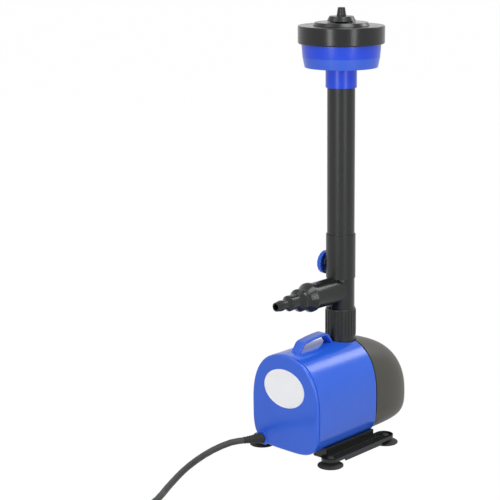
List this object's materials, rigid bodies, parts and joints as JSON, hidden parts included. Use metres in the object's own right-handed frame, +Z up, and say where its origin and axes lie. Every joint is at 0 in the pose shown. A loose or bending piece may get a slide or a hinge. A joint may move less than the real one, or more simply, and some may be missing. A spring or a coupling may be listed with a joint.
{
  "type": "fountain pump",
  "caption": "Submersible fountain pump on suction-cup rails, with a turning branch and hose tail, a flow regulator, a riser pipe, a spray head and a coiled mains lead.",
  "frame": {"origin": "middle of the pump's footprint on the floor, measured without its lead", "axes": "+Z up along the riser, -Y towards the label and the hose tail's tip, +X to the right of the label; the knob and the lead are on the -X side"},
  "size_m": [0.1514, 0.6315, 0.4785],
  "materials": {
    "blue_shell": "gloss",
    "label_face": "satin",
    "strainer_shell": "satin",
    "black_fittings": "satin",
    "vane_grey": "satin",
    "black_rubber": "matte",
    "lead_sheath": "matte",
    "plug_rubber": "satin",
    "plug_metal": "polished",
    "tie_strap": "satin",
    "motor_resin": "semi-gloss",
    "core_steel": "brushed",
    "bobbin_plastic": "satin",
    "copper_wire": "enamelled",
    "ceramic": "polished",
    "magnet": "matte",
    "impeller_plastic": "satin",
    "screw_steel": "brushed"
  },
  "bodies": {
    "pump": {"housing": "blue_shell", "front_cover": "blue_shell", "label": "label_face", "cable_gland": "black_rubber", "potting": "motor_resin", "stator_core": "core_steel", "bobbins": "bobbin_plastic", "windings": "copper_wire", "rotor_can": "black_fittings", "shaft": "ceramic", "front_bush": "black_rubber", "rear_bush": "black_rubber", "pump_chamber": "black_fittings", "chamber_seal": "black_rubber", "chamber_lid": "black_fittings", "chamber_screws": "screw_steel", "left_rail": "black_fittings", "right_rail": "black_fittings", "suction_cups": "black_rubber", "outlet_pipe": "black_fittings", "cord": "lead_sheath", "cord_coil": "lead_sheath", "cord_tail": "lead_sheath", "cord_tie": "tie_strap", "plug_body": "plug_rubber", "plug_pins": "plug_metal"},
    "rotor": {"rotor_magnet": "magnet", "impeller": "impeller_plastic"},
    "strainer": {"strainer": "strainer_shell"},
    "branch": {"branch_piece": "black_fittings", "branch_seal": "black_rubber", "hose_tail": "black_fittings", "tail_seal": "black_rubber", "sleeve": "black_fittings", "sleeve_seal": "black_rubber"},
    "valve": {"valve_vane": "vane_grey", "valve_knob": "blue_shell", "knob_screw": "screw_steel"},
    "riser": {"riser_pipe": "black_fittings", "riser_seal": "black_rubber", "spray_bowl": "blue_shell", "spray_cap": "black_fittings", "cap_seal": "black_rubber", "spray_ring": "black_fittings", "spray_collar": "black_fittings", "spray_tip": "black_fittings"}
  },
  "joints": [
    {"name": "rotor_spin", "type": "hinge", "parent": "pump", "child": "rotor", "pos_m": [0, 0.01283, 0.056], "axis": [0, 1, 0], "continuous": true},
    {"name": "strainer_pull", "type": "slide", "parent": "pump", "child": "strainer", "axis": [0, 1, 0], "range_m": [0, 0.06]},
    {"name": "branch_swivel", "type": "hinge", "parent": "pump", "child": "branch", "pos_m": [0, 0.01283, 0.14], "axis": [0, 0, 1], "continuous": true},
    {"name": "valve_turn", "type": "hinge", "parent": "branch", "child": "valve", "pos_m": [0, 0.01283, 0.199], "axis": [1, 0, 0], "range_deg": [0, 90]},
    {"name": "riser_draw", "type": "slide", "parent": "branch", "child": "riser", "axis": [0, 0, 1], "range_m": [0, 0.012]}
  ]
}
